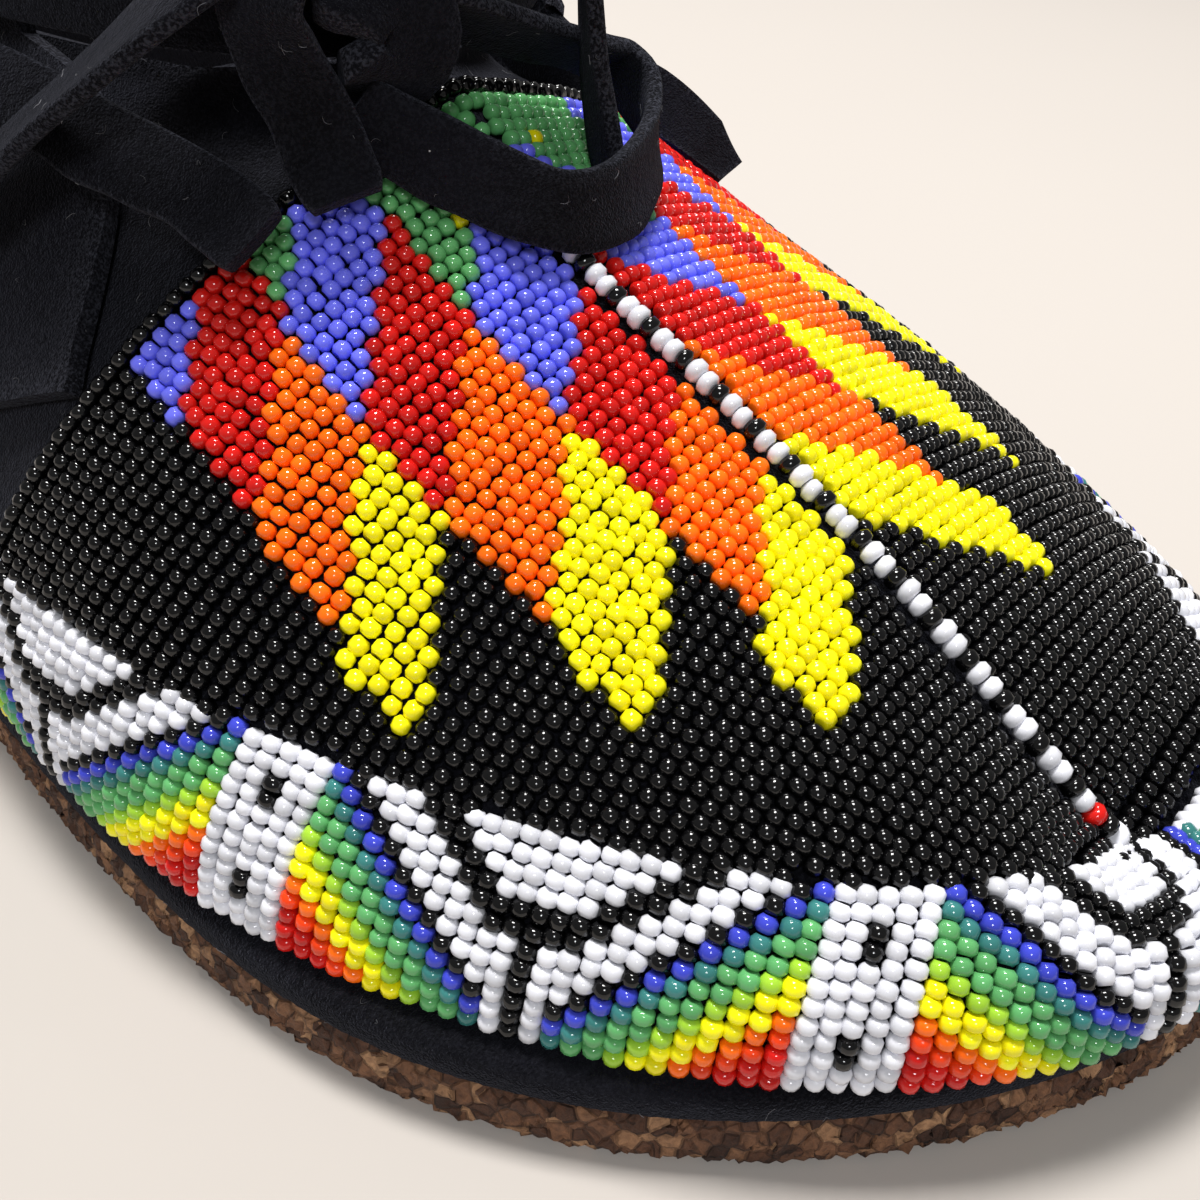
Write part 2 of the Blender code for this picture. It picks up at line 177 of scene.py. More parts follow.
def cork_finish():
    cork = Finish("cork crumb")
    crumb = cork.grey(cork.crumbs(CRUMBS, "Color"))
    tone = cork.ramp(
        crumb,
        (0.0, (0.050, 0.019, 0.010)),
        (0.35, (0.125, 0.052, 0.026)),
        (0.7, (0.240, 0.112, 0.055)),
        (1.0, (0.480, 0.270, 0.140)),
    )
    grain = cork.noise(1500, 6)
    stain = cork.noise(160, 3)
    shade = cork.ramp(grain * 0.6 + stain * 0.4, (0.3, (0.30, 0.26, 0.24)), (0.62, (1, 1, 1)))
    colour = cork.blend(1.0, tone, shade, "MULTIPLY")
    gaps = cork.crumbs(CRUMBS, "Distance", "DISTANCE_TO_EDGE")
    deep = cork.ramp(gaps, (0.0, (0, 0, 0)), (0.10, (1, 1, 1)))
    relief = cork.grey(deep) * 0.5 + grain * 0.7 + crumb * 0.4
    return cork.wear(
        Base_Color=colour, Roughness=0.55 + 0.4 * grain, Normal=cork.bump(relief, 0.7), IOR=1.45
    )


def spline(values, at):
    """Smooth closed curve through values, one a station, read at the station numbers in at."""
    values = np.asarray(values, float)
    count = len(values)
    matrix = 4 * np.eye(count) + np.roll(np.eye(count), 1, 0) + np.roll(np.eye(count), -1, 0)
    bend = np.linalg.solve(matrix, 6 * (np.roll(values, 1) - 2 * values + np.roll(values, -1)))
    first = np.floor(at).astype(int)
    t = at - first
    a, b = first % count, (first + 1) % count
    line = (1 - t) * values[a] + t * values[b]
    return line + (((1 - t) ** 3 - (1 - t)) * bend[a] + (t**3 - t) * bend[b]) / 6


def outline_at(place, at):
    """The OUTLINE column at place, read at the station numbers in at."""
    return spline([row[place] for row in OUTLINE], at)


def toe_lift(y):
    reach = OUTLINE[TOE_TIP][2] - SPRING_FROM
    return TOE_SPRING * (np.clip(y - SPRING_FROM, 0, None) / reach) ** 2


def edge_points(at, out):
    """Plan points of the upper's lower edge, moved out square to it."""
    step = 1e-3
    x, y = (outline_at(place, at) for place in (1, 2))
    dx, dy = (outline_at(place, at + step) - outline_at(place, at - step) for place in (1, 2))
    length = np.hypot(dx, dy)
    return x + out * dy / length, y - out * dx / length


def add_object(name, data):
    made = bpy.data.objects.new(name, data)
    bpy.context.scene.collection.objects.link(made)
    return made


def add_piece(name, points, faces, finish, sharp=None):
    """A mesh piece on the root body, from millimetre points. Edges sharper than sharp degrees stay."""
    mesh = bpy.data.meshes.new(name)
    placed = (np.asarray(points) - (*CENTRE, 0)) * MM
    mesh.from_pydata(placed.tolist(), [], faces)
    mesh.shade_smooth()
    if sharp:
        mesh.set_sharp_from_angle(angle=np.radians(sharp))
    mesh.materials.append(finish)
    piece = add_object(name, mesh)
    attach(piece, "root")
    return piece


def grid_faces(columns, rows, ring=False):
    """Quads of a grid of columns by rows of points, its last column joined to its first in a ring."""
    faces = []
    for column in range(columns if ring else columns - 1):
        here, after = column * rows, (column + 1) % columns * rows
        faces += [[here + r, after + r, after + r + 1, here + r + 1] for r in range(rows - 1)]
    return faces


def add_layer(name, at, base, outs, heights, finish, roughness):
    """A flat layer of the sole. outs and heights are its edge's profile, from its underside round to
    its top, out from the line base. roughness shifts the edge's points, but not the flat faces'."""
    rings = []
    for out, height in zip(outs, heights):
        plan = np.column_stack(edge_points(at, base + out))
        rings.append(np.column_stack([plan, height + toe_lift(plan[:, 1])]))
    grid = np.stack(rings, 1)
    grid[:, 2:-2] += chance.normal(0, roughness, grid[:, 2:-2].shape)
    count, rows = grid.shape[:2]
    faces = grid_faces(count, rows, ring=True)
    for row in (0, rows - 1):
        for here in range(count // 2):
            corners = [here, here + 1, (count - here - 1) % count, (count - here) % count]
            corners = [corner * rows + row for corner in dict.fromkeys(corners)]
            faces.append(corners if row else corners[::-1])
    return add_piece(name, grid.reshape(-1, 3), faces, finish, sharp=50)


fine_rim = np.arange(0, len(OUTLINE), 1 / 60)
rim = outline_at(7, fine_rim)
profile = (CORK_OUTS, CORK_HEIGHTS)
outsole = add_layer("crumbed_outsole", fine_rim, rim, *profile, cork_finish(), CORK_ROUGH)
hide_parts("cork_outsole")

# ---- Midsole and rand ---------------------------------------------------------------------------
# A firm board wrapped in the upper's black suede. Its edge shows as a soft-cornered black band that
# stands a little proud of the beads, with dust and lint in its nap.

MIDSOLE_BOTTOM, MIDSOLE_TOP = CORK + 0.05, 9.5
MIDSOLE_OUTS = (-6, -1.2, -0.35, 0, 0.05, 0, -0.3, -0.9, -1.8, -6)
MIDSOLE_SHARES = (0, 0, 0.06, 0.2, 0.42, 0.64, 0.82, 0.94, 1, 1)
RAND_ROUGH = 0.03


def suede_finish():
    """Black split suede: a short nap, brushed lighter in patches, with specks, and a painted sheen that
    lightens it along the rims of walls and thongs.
    """
    suede = Finish("black suede")
    patches = suede.noise(45, 3)
    nap_light = suede.noise(900, 5)
    fibre = suede.noise(4200, 2)
    # The share of painted edge sheen at each point: a lighter colour along the rims that stands in for
    # light on the nap.
    rubbed = suede.node("Attribute", {"attribute_name": "rubbed"}, out="Fac")
    tufts = suede.ramp(suede.noise(3000, 3), (0.45, (0, 0, 0)), (0.62, (1, 1, 1)))
    tufts = suede.node("RGBToBW", {}, {"Color": tufts}, out=0)
    dark, light = (0.0016, 0.0016, 0.0025), (0.0066, 0.0066, 0.0105)
    brushed = suede.ramp(patches * 0.7 + nap_light * 0.3, (0.38, dark), (0.70, light))
    # Lighter tufts at random everywhere, and many more along the marked rims, where they are a painted
    # sheen in a pale blue-grey.
    tufts_and_sheen = suede.blend((0.11 + 0.55 * rubbed) * tufts, brushed, (0.040, 0.042, 0.055, 1))
    dots = suede.crumbs(420, "Distance")
    pick = suede.grey(suede.crumbs(420, "Color"))
    fleck = (dots < 0.05) * (pick > 0.978)
    colour = suede.blend(fleck * 0.75, tufts_and_sheen, (0.50, 0.50, 0.52, 1))
    relief = nap_light * 0.5 + fibre * 0.5 + patches * 0.8
    return suede.wear(
        Base_Color=colour,
        Roughness=0.92,
        Normal=suede.bump(relief, 0.8),
        Sheen_Weight=0.075,
        Sheen_Roughness=0.45,
        Sheen_Tint=(0.55, 0.58, 0.75, 1),
        Specular_IOR_Level=0.08,
    )


black_suede = suede_finish()
midsole_heights = [MIDSOLE_BOTTOM + (MIDSOLE_TOP - MIDSOLE_BOTTOM) * share for share in MIDSOLE_SHARES]
rand = add_layer("suede_rand", fine_rim, rim, MIDSOLE_OUTS, midsole_heights, black_suede, RAND_ROUGH)
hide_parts("midsole")

# ---- Insole -------------------------------------------------------------------------------------
# A thin brown leather sock glued inside on the midsole, worn darker in patches.

INSOLE, INSOLE_IN = 2.0, -4.5  # thickness, and its edge from the upper's lower edge
INSOLE_OUTS = (-6, -0.3, 0, 0, -0.3, -1.0, -6)
INSOLE_SHARES = (0, 0, 0.15, 0.75, 0.94, 1, 1)
EDGE_Z = 9.8  # where the upper and the insole stand on the midsole


def insole_finish():
    leather = Finish("insole leather")
    grain = leather.noise(1300, 5)
    wear = leather.noise(28, 3)
    tone = leather.ramp(wear, (0.35, (0.085, 0.040, 0.020)), (0.70, (0.210, 0.110, 0.055)))
    pores = leather.ramp(grain, (0.3, (0.05, 0.02, 0.01)), (0.7, (0.3, 0.2, 0.1)))
    colour = leather.blend(0.35, tone, pores)
    return leather.wear(
        Base_Color=colour, Roughness=0.45 + 0.25 * grain, Normal=leather.bump(grain, 0.12)
    )


insole_heights = [EDGE_Z + 0.05 + INSOLE * share for share in INSOLE_SHARES]
sock = add_layer("leather_insole", fine_rim, INSOLE_IN, INSOLE_OUTS, insole_heights, insole_finish(), 0)
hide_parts("insole")

# ---- Upper --------------------------------------------------------------------------------------
# One wall of black suede, 2 mm thick, lasted over the foot's form: joined along the ridge over the
# toes, open at the throat and collar. It is glued down to the midsole all round.

# The top of each side, counted from the toe tip back: the ridge, where the two sides meet over the
# foot, as far as the throat, and then the collar's half opening about its own middle.
TOPLINE = [
    # station        top_y  top_z  middle opening
    ("toe tip",        106,   17,      0,    0),
    ("toe corner",     104,   20,      0,    0),
    ("toe side",        87,   32,      0,    0),
    ("joint",           62,   46,      0,    0),
    ("ball",            40,   57,      0,    0),
    ("throat",        25.5,   68,      0,    0),
    ("arch",            10,   71,      1,   20),
    ("waist",          -33,   72,      3,   27),
    ("heel side",      -84,   73,      5,   28),
    ("heel",          -122,   75,      6,   21),
    ("heel back",     -141,   76,      6,    0),
]
THROAT = 5  # place of the throat in TOPLINE
SUEDE_OUT, SUEDE_IN = -1.0, -3.0  # the wall's two faces, from the last surface out
SHEEN_ROWS = 1.6  # how many rows of a wall's mesh get the painted edge sheen, in from its rims
# Soft creases in the ankle's suede: station and share of the side where each starts and ends, its
# half width in share, and how deep it is.
STATION_SHARE = 0.12  # a station's worth of side, in share, for measuring slanting distances
CREASES = [
    ((4.7, 0.55), (3.9, 0.98), 0.035, 0.7),
    ((4.2, 0.50), (3.2, 0.86), 0.040, 0.6),
    ((-4.6, 0.55), (-3.8, 0.98), 0.035, 0.7),
    ((2.2, 0.60), (1.4, 0.92), 0.050, 0.7),
    ((-2.3, 0.58), (-1.5, 0.90), 0.050, 0.6),
    ((0.6, 0.70), (-0.6, 0.74), 0.040, 0.5),
    ((0.9, 0.52), (-0.8, 0.50), 0.045, 0.4),
]


def topline_column(place):
    """A TOPLINE column laid round the shoe, one value for each OUTLINE station."""
    return [TOPLINE[abs(station - TOE_TIP)][place] for station in range(len(OUTLINE))]


def steady(values, at):
    """Closed curve through values that never swings past them, so that a flat stretch stays flat."""
    values = np.asarray(values, float)
    after = np.roll(values, -1) - values
    before = np.roll(after, 1)
    same_way = before * after > 0
    slope = np.where(same_way, 2 * before * after / np.where(same_way, before + after, 1), 0)
    first = np.floor(at).astype(int)
    t = at - first
    a, b = first % len(values), (first + 1) % len(values)
    ends = (1 + 2 * t) * (1 - t) ** 2 * values[a] + t**2 * (3 - 2 * t) * values[b]
    return ends + t * (1 - t) ** 2 * slope[a] - t**2 * (1 - t) * slope[b]


def last_surface(at, up):
    """Points of the last, at station numbers at and shares up of the way from the sole to the top."""
    rise, bulge, reach, drop = (outline_at(place, at) for place in (3, 4, 5, 6))
    foot_x, foot_y = edge_points(at, 0)
    out_x, out_y = edge_points(at, bulge)
    foot_z = EDGE_Z + toe_lift(foot_y)
    top_y, top_z = (spline(topline_column(place), at) for place in (1, 2))
    side = np.where(at % len(OUTLINE) > TOE_TIP, -1, 1)
    opening = [
        value * (1 if station < TOE_TIP else -1) for station, value in enumerate(topline_column(4))
    ]
    top_x = spline(topline_column(3), at) + side * np.abs(steady(opening, at))
    lean_x, lean_y = foot_x - top_x, foot_y - top_y
    lean = np.maximum(np.hypot(lean_x, lean_y), 1e-6)
    foot = np.stack([foot_x, foot_y, foot_z], -1)
    low = np.stack([out_x, out_y, foot_z + rise], -1)
    top = np.stack([top_x, top_y, top_z], -1)
    high = top + np.stack([lean_x / lean * reach, lean_y / lean * reach, -drop], -1)
    t = np.asarray(up)[..., None]
    return (1 - t) ** 3 * foot + 3 * (1 - t) ** 2 * t * low + 3 * (1 - t) * t**2 * high + t**3 * top


def unit(vectors):
    return vectors / np.linalg.norm(vectors, axis=-1, keepdims=True)


def face_direction(at, up):
    """Unit vectors square to the last, pointing out."""
    step = 1e-3
    up = np.clip(up, 0.01, 0.985)
    along = last_surface(at + step, up) - last_surface(at - step, up)
    across = last_surface(at, up + step) - last_surface(at, up - step)
    return unit(np.cross(along, across))


def layer(at, up, out):
    """The last's points moved out: level where they stand on the sole, and along the ridge in the
    mean direction of both sides, so that they meet."""
    square = face_direction(at, up)
    other_side = face_direction(2 * TOE_TIP - at, up)
    along_ridge = (up > 0.999) & (np.abs(at % len(OUTLINE) - TOE_TIP) <= TOE_TIP - THROAT + 1e-6)
    square = np.where(along_ridge[..., None], (square + other_side) / 2, square)
    square[..., 2] = np.where(up < 0.001, 0, square[..., 2])
    return last_surface(at, up) + np.asarray(out)[..., None] * unit(square)


def crease_depth(at, up):
    """How far the creases pull the suede in, with a soft ridge along each trough's sides."""
    depth = np.zeros(at.shape)
    around = (at + TOE_TIP) % len(OUTLINE) - TOE_TIP
    for (at_a, up_a), (at_b, up_b), wide, deep in CREASES:
        run = np.array([(at_b - at_a) * STATION_SHARE, up_b - up_a])
        away = np.stack([(around - at_a) * STATION_SHARE, up - up_a], -1)
        along = np.clip(away @ run / (run @ run), 0, 1)
        off = np.linalg.norm(away - along[..., None] * run, axis=-1) / wide
        fade = np.sin(np.pi * np.clip(along, 0.04, 0.96))
        depth += deep * fade * (1.3 * np.exp(-(off**2)) - 0.6 * np.exp(-((off / 1.9) ** 2)))
    return depth


def mark_rubbed(piece, shares):
    """Stores how much painted edge sheen each point gets, for the suede's colour."""
    mark = piece.data.attributes.new("rubbed", "FLOAT", "POINT")
    mark.data.foreach_set("value", shares.astype(np.float32))


def from_ends(count):
    """For each of count in a row, how many steps it lies from the nearer end."""
    return np.minimum(np.arange(count), np.arange(count)[::-1])


def add_wall(name, outer, inner, ring=False, joined=()):
    """A suede sheet between two grids of points. ring joins its last column to the first, and joined
    lists the gaps between columns whose top stays open. Its rims get a painted sheen, lighter."""
    columns, rows = outer.shape[:2]
    inside = columns * rows
    faces = grid_faces(columns, rows, ring)
    faces += [[corner + inside for corner in reversed(face)] for face in faces]
    for column in range(columns if ring else columns - 1):
        here, after = column * rows, (column + 1) % columns * rows
        faces.append([after, here, here + inside, after + inside])
        if column not in joined:
            top_here, top_after = here + rows - 1, after + rows - 1
            faces.append([top_here, top_after, top_after + inside, top_here + inside])
    if not ring:
        for row in range(rows - 1):
            faces.append([row, row + 1, row + 1 + inside, row + inside])
            last = (columns - 1) * rows + row
            faces.append([last + 1, last, last + inside, last + 1 + inside])
    points = np.concatenate([outer.reshape(-1, 3), inner.reshape(-1, 3)])
    piece = add_piece(name, points, faces, black_suede, sharp=60)
    # Painted sheen: full at the rims, fading inward over a row or two.
    from_rim = from_ends(rows) * np.ones((columns, 1))
    if not ring:
        from_rim = np.minimum(from_rim, from_ends(columns)[:, None])
    share = np.clip(1 - from_rim / SHEEN_ROWS, 0, 1).reshape(-1)
    mark_rubbed(piece, np.concatenate([share, share]))
    return piece


around = np.arange(0, len(OUTLINE), 1 / 16)
upper_at, upper_up = np.meshgrid(around, np.linspace(0, 1, 49), indexing="ij")
creases = crease_depth(upper_at, upper_up)
upper_faces = [layer(upper_at, upper_up, out - creases) for out in (SUEDE_OUT, SUEDE_IN)]
# Between these columns the two sides' tops meet along the ridge.
gaps = (around + np.roll(around, -1)) / 2
closed = set(np.flatnonzero(np.abs(gaps % len(OUTLINE) - TOE_TIP) < TOE_TIP - THROAT).tolist())
upper = add_wall("suede_upper", *upper_faces, ring=True, joined=closed)
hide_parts("upper")

# ---- Beaded band --------------------------------------------------------------------------------
# Twelve glass seed beads high, lane-stitched upright all round the shoe from the sole's edge. The
# chart repeats a white box with black ticks between stepped rays that run from blue down to red.

BEAD_WIDE, BEAD_LONG = 1.96, 1.58  # across, and along the thread
BEAD_SIDES = 12
# A bead's outline from end to end: place along its length and radius, as shares of each.
BEAD_OUTLINE = [(-0.5, 0.60), (-0.24, 0.97), (0.24, 0.97), (0.5, 0.60)]
BEAD_HOLE = 0.40  # where along its length the hole's dimple ends
# How far beads stray: in place, in the way their thread points, and in their width and length.
STRAY, TILT, WIDE_VARIES, LONG_VARIES = 0.055, 0.09, 0.040, 0.035
LONG_MEAN = 0.985  # of the length asked for, which leaves a thread's gap
BAND_ROWS = 12
BAND_LONG = 1.50  # the band's beads sit closer on their thread
BAND_START, START_STRAY = 0.35, 0.10  # how far up its first row starts, and how much that strays
BAND_REPEAT = 30  # columns
# Stations where the white boxes that show on the outer side stand; the rest are spaced evenly.
FIRST_BOX, LAST_BOX, BOXES = 8.14, 26.47, 11
RAY = ["teal", "green", "green", "lime", "yellow", "yellow", "orange", "flame"]
GLASS = {
    "white": (0.74, 0.745, 0.80),
    "black": (0.0022, 0.0022, 0.0026),
    "red": (0.60, 0.010, 0.007),
    "flame": (0.80, 0.050, 0.006),
    "orange": (0.98, 0.150, 0.004),
    "yellow": (0.96, 0.86, 0.006),
    "lime": (0.34, 0.60, 0.040),
    "green": (0.110, 0.380, 0.130),
    "teal": (0.040, 0.190, 0.180),
    "blue": (0.045, 0.060, 0.520),
    "periwinkle": (0.150, 0.165, 0.880),
}


def glass_finish(name):
    """Opaque pressed glass: an even body colour, a little different from bead to bead, fire-polished."""
    pressed = Finish(name + " glass")
    bead = pressed.node("NewGeometry", out="Random Per Island")
    colour = GLASS[name]
    deep = tuple(0.80 * part for part in colour)
    bright = tuple(min(1, 1.12 * part) for part in colour)
    tone = pressed.ramp(bead, (0.0, deep), (0.5, colour), (1.0, bright))
    swirl = pressed.noise(700, 2)
    return pressed.wear(
        Base_Color=tone,
        Roughness=0.07 + 0.08 * swirl,
        Normal=pressed.bump(swirl, 0.02),
        Specular_IOR_Level=0.48,
    )


glass = {name: glass_finish(name) for name in GLASS}


def one_bead():
    """Points and faces of a bead 1 long and 1 in radius, its thread along z."""
    turn = 2 * np.pi * np.arange(BEAD_SIDES) / BEAD_SIDES
    points = [(0, 0, -BEAD_HOLE)]
    for place, radius in BEAD_OUTLINE:
        points += [(radius * np.cos(t), radius * np.sin(t), place) for t in turn]
    points.append((0, 0, BEAD_HOLE))
    faces = []
    for side in range(BEAD_SIDES):
        here, after = 1 + side, 1 + (side + 1) % BEAD_SIDES
        faces.append([0, after, here])
        for ring in range(len(BEAD_OUTLINE) - 1):
            low, high = ring * BEAD_SIDES, (ring + 1) * BEAD_SIDES
            faces.append([here + low, after + low, after + high, here + high])
        top = (len(BEAD_OUTLINE) - 1) * BEAD_SIDES
        faces.append([here + top, after + top, len(points) - 1])
    return np.array(points), faces


def add_beads(name, places, threads, squares, colour, wide, long):
    """Beads joined into one mesh: each at its place, along its thread, with its face square out."""
    count = len(places)
    base, base_faces = one_bead()
    places = places + chance.normal(0, STRAY, (count, 3))
    threads = unit(threads + chance.normal(0, TILT, (count, 3)))
    sides = unit(np.cross(squares, threads))
    squares = np.cross(threads, sides)
    turn = chance.uniform(0, 2 * np.pi / BEAD_SIDES, count)[:, None]
    across_a = sides * np.cos(turn) + squares * np.sin(turn)
    across_b = squares * np.cos(turn) - sides * np.sin(turn)
    radius = (wide / 2 * chance.normal(1, WIDE_VARIES, count))[:, None, None]
    length = (long * chance.normal(LONG_MEAN, LONG_VARIES, count))[:, None, None]
    points = places[:, None] + radius * base[:, 0, None] * across_a[:, None]
    points = points + radius * base[:, 1, None] * across_b[:, None]
    points = points + length * base[:, 2, None] * threads[:, None]
    faces = []
    for bead in range(count):
        start = bead * len(base)
        faces += [[corner + start for corner in face] for face in base_faces]
    return add_piece(name, points.reshape(-1, 3), faces, glass[colour])


def lengths_along(lines):
    """How far along its line each point lies. The lines' points follow one another on the last axis
    but one."""
    run = np.linalg.norm(np.diff(lines, axis=-2), axis=-1).cumsum(-1)
    return np.concatenate([np.zeros((*run.shape[:-1], 1)), run], -1)


def read_along(values, length, where):
    """values along a thread, whose points lie at length, read at the lengths where."""
    return np.stack([np.interp(where, length, values[:, axis]) for axis in range(3)], -1)


def strung(at, up, starts, long, out, most=999, chart=None):
    """Beads on threads. at and up are grids of dense points, a row for each thread, and starts is how
    far along it each one's first bead begins. It gives every bead's place, the way that its thread
    and its face point, its thread's number, and its colour by the chart or its count from the start.
    long is a bead's length, or the lengths of a coloured and a black one."""
    line = layer(at, up, out)
    square = face_direction(at, up)
    places, threads, squares, numbers, counts = [], [], [], [], []
    for number, length in enumerate(lengths_along(line)):
        middles, end, marks = [], starts[number], []
        while end + 0.6 * np.min(long) < length[-1] and len(middles) < most:
            mark = len(middles)
            if chart:
                ahead = end + long[0] / 2
                mark = chart(read_along(line[number], length, np.array([ahead]))[0], ahead)
            step = long[mark == "black"] if chart else long
            middles.append(end + step / 2)
            marks.append(mark)
            end += step
        if not middles:
            continue
        middles = np.array(middles)
        places.append(read_along(line[number], length, middles))
        ahead = read_along(line[number], length, middles + 0.4)
        threads.append(ahead - read_along(line[number], length, middles - 0.4))
        squares.append(read_along(square[number], length, middles))
        numbers += [number] * len(middles)
        counts += marks
    places, threads, squares = (np.concatenate(parts) for parts in (places, threads, squares))
    return places, unit(threads), squares, numbers, counts


def add_bead_colours(prefix, beads, colours, wide, long, slot, node=None, order=()):
    """One joined piece for each colour of the beads, which may stand for a solid of the frame."""
    for colour in order or sorted(set(colours)):
        chosen = np.flatnonzero(np.array(colours) == colour)
        group = [column[chosen] for column in beads[:3]]
        piece = add_beads(f"{prefix}_{colour}", *group, colour, wide, long)
        if node:
            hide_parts(node)


def band_colour(column, row):
    """The band's chart. column counts from the middle of a white box, and row from the sole, 1 to 12."""
    off = abs((column + BAND_REPEAT // 2) % BAND_REPEAT - BAND_REPEAT // 2)
    if off <= 2:
        return "black" if off == 0 and row in (3, 4, 9, 10) else "white"
    ray_top = 15 - off
    if row <= ray_top and off <= 13:
        if row == ray_top:
            return "blue"
        below = ray_top - row - 1
        return RAY[below] if below < len(RAY) else "red"
    if off == 15:
        return "black" if row <= 8 else "white"
    if off == 14:
        return "black" if row in (7, 8) else "white"
    if row >= {13: 9, 12: 10, 11: 11, 10: 12}.get(off, 99):
        return "white"
    above = row - ray_top
    return "white" if 2 <= above <= 4 else "black"


dense = np.linspace(FIRST_BOX, FIRST_BOX + len(OUTLINE), 4001)
round_run = lengths_along(layer(dense, 0.03, 0))
last_run = np.interp(LAST_BOX, dense, round_run)
even = np.arange((BOXES - 1) * BAND_REPEAT) * last_run / ((BOXES - 1) * BAND_REPEAT)
short = last_run + np.arange(BAND_REPEAT) * (round_run[-1] - last_run) / BAND_REPEAT
band_columns = np.interp(np.r_[even, short], round_run, dense)
band_up, band_at = np.meshgrid(np.linspace(0.004, 0.97, 60), band_columns)
band_starts = BAND_START + chance.normal(0, START_STRAY, len(band_columns))
band_beads = strung(band_at, band_up, band_starts, BAND_LONG, 0, BAND_ROWS)
band_colours = [band_colour(column, row + 1) for column, row in zip(*band_beads[3:])]
add_bead_colours("band", band_beads, band_colours, BEAD_WIDE, BAND_LONG, "band_beads", "beaded_band")

# ---- Beaded vamp --------------------------------------------------------------------------------
# The same beads strung across the forefoot from the ridge down to the band on both sides, each lane
# half a bead off its neighbour. A sunburst of slanting stripes in tiers lies on a black ground.

VAMP_FROM = 18.3  # how far up the side the field starts, just over the band
HIGHEST_FOOT = 0.82  # the most that this is as a share, at the toe
VAMP_LONGS = (1.74, 1.50)  # a coloured and a black bead's length along the lane
COLOURED_BEAD, BLACK_BEAD = (1.90, 1.64), (1.80, 1.46)  # their widths and lengths
LANE_APART = 1.74  # along the ridge
FIRST_LANE = 0.9  # how many lanes' spacing the first one lies off the throat
# The hindmost lane's foot lies this far behind its top, more and more down the lane by the power.
# The sweep dies out over the reach in y.
REAR_SWEEP, SWEEP_POWER, SWEEP_REACH = 15.5, 1.4, 60
TOE_LANES = 3  # more of them past the ridge's end
LANES_BEHIND = 0.6  # stations that they reach behind the throat
# From the ridge to the lanes' first beads: outer and inner side of the string, and behind it.
RIDGE_CLEAR, REAR_CLEAR = {1: 2.8, -1: 0.3}, 0.1
LANE_LEVELS = np.linspace(0, 1, 90)  # from the ridge to the band
STRING_START = 33  # y where the string along the ridge starts, before the whipped edge at the throat
STRIPE_SLANT = 0.80  # how far a stripe runs forward for each step outward
# How steeply the yellow points are cut back in front on the outer side, from this share of a stripe's
# width on, and how much further they reach on the inner side.
TIP_CUT, TIP_CUT_FROM, TIP_MORE = 12, 0.7, 1.0
# A few beads of other colours strayed into the green by the throat.
ODD_WITHIN, ODD_SHARE, ODD_COLOURS = 16, 0.07, ("yellow", "orange", "white", "lime")
# Where the stripes' edges meet the ridge, from the throat forward, and each stripe's colours from
# the ridge down, with how far from the ridge each one ends. Black follows.
STRIPE_EDGES = (-46, -29, -18, -7, 4.9, 21, 35.1, 47.2, 58.9)
STRIPES = [
    [("green", 28), ("periwinkle", 43)],
    [("green", 28), ("red", 42.5)],
    [("green", 15), ("periwinkle", 29), ("orange", 43.5)],
    [("green", 14.5), ("red", 29), ("yellow", 45)],
    [("periwinkle", 14.3), ("orange", 29.7)],
    [("red", 14.8), ("yellow", 30.5)],
    [("orange", 15.6)],
    [("yellow", 18.2)],
]


def height_share(at, length, from_top=False):
    """Share of the way up each side that lies length along it from the sole, or down from its top."""
    shares = np.linspace(0, 1, 101)
    run = lengths_along(layer(at[:, None], np.clip(shares, 0.002, 0.998), 0))
    wanted = run[:, -1] - length if from_top else np.full(len(at), float(length))
    return np.array([np.interp(*pair, shares) for pair in zip(wanted, run)])


def lanes(tops, side):
    """Grids of stations and shares for lanes that start at the ridge at tops, millimetres in y."""
    at = np.linspace(THROAT - LANES_BEHIND, TOE_TIP, 500)
    at_side = at if side > 0 else 2 * TOE_TIP - at
    foot = np.minimum(height_share(at_side, VAMP_FROM), HIGHEST_FOOT)
    sweep = REAR_SWEEP * np.clip(1 - (tops - TOPLINE[THROAT][1]) / SWEEP_REACH, 0, None) ** 2
    stations, shares = [], []
    for level in LANE_LEVELS:
        up = 1 - level * (1 - foot)
        y = last_surface(at_side, up)[:, 1]
        found = np.interp(tops - sweep * level**SWEEP_POWER, y, at)
        stations.append(found)
        shares.append(np.interp(found, at, up))
    stations, shares = np.array(stations).T, np.array(shares).T
    # A lane that begins past the ridge's end leaves the toe's middle line further down.
    first = np.maximum((stations < TOE_TIP - 0.01).argmax(1) - 1, 0)
    shares = np.minimum(shares, shares[np.arange(len(tops)), first][:, None])
    return (stations if side > 0 else 2 * TOE_TIP - stations), shares


def stripe_colour(place, run):
    """The vamp's chart, for a bead at place, run from the ridge along its lane."""
    root = place[1] - STRIPE_SLANT * abs(place[0])
    from_throat = np.interp(root, ridge_line[:, 1], ridge_run)
    if root < ridge_line[0, 1]:
        from_throat = root - ridge_line[0, 1]
    stripe = np.searchsorted(STRIPE_EDGES, from_throat) - 1
    if 0 <= stripe < len(STRIPES):
        rear, fore = STRIPE_EDGES[stripe : stripe + 2]
        across = (from_throat - rear) / (fore - rear)
        for colour, end in STRIPES[stripe]:
            if colour == "yellow":
                end += -TIP_CUT * max(0, across - TIP_CUT_FROM) if place[0] > 0 else TIP_MORE
            if run < end:
                odd = colour == "green" and run < ODD_WITHIN and chance.random() < ODD_SHARE
                return str(chance.choice(ODD_COLOURS)) if odd else colour
    return "black"


